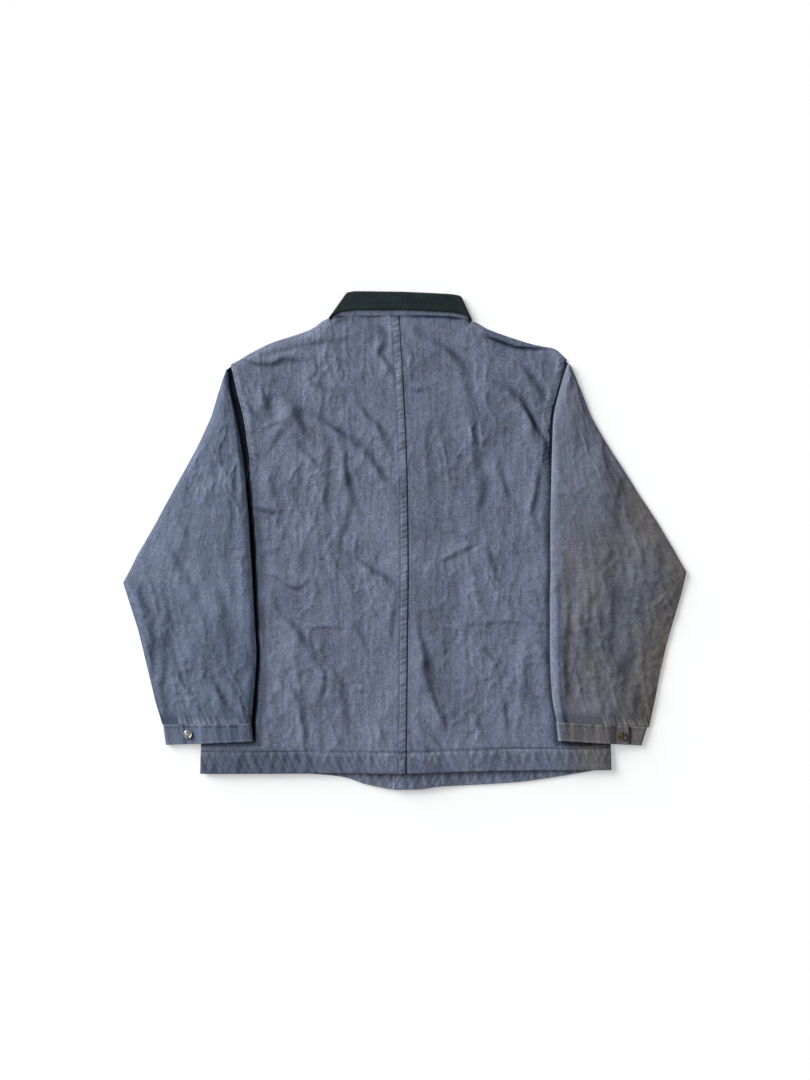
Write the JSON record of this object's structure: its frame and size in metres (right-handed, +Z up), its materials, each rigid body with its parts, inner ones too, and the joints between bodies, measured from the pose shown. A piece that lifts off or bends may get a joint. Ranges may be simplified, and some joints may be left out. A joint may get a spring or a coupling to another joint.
{
  "type": "chore jacket",
  "caption": "Cotton twill chore jacket laid flat on its front, back up, with its corduroy collar turned down and its sleeves brought down over its sides.",
  "frame": {"origin": "middle of the jacket's outline, on the surface it lies on", "axes": "+X towards the wearer's right sleeve, +Y towards the collar, +Z up from the surface, out of the back"},
  "size_m": [0.873, 0.7732, 0.0151],
  "materials": {
    "twill": "faded blue-grey cotton twill, matte",
    "sleeve_twill_left": "faded blue cotton twill, matte",
    "sleeve_twill_right": "faded grey-brown cotton twill, matte",
    "corduroy": "dark green corduroy, matte",
    "nickel": "worn nickel",
    "dark_brass": "dark antique brass"
  },
  "bodies": {
    "root": {"back_left": "twill", "back_right": "twill", "front_left": "twill", "front_right": "twill", "pocket_left": "twill", "pocket_right": "twill", "sleeve_left": "sleeve_twill_left", "sleeve_right": "sleeve_twill_right", "cuff_left": "sleeve_twill_left", "cuff_right": "sleeve_twill_right", "collar_stand": "twill", "collar_leaf": "corduroy", "cuff_button_left": "nickel", "cuff_button_right": "dark_brass", "front_button_1": "dark_brass", "front_button_2": "dark_brass", "front_button_3": "dark_brass", "front_button_4": "dark_brass", "front_button_5": "dark_brass"}
  },
  "joints": []
}
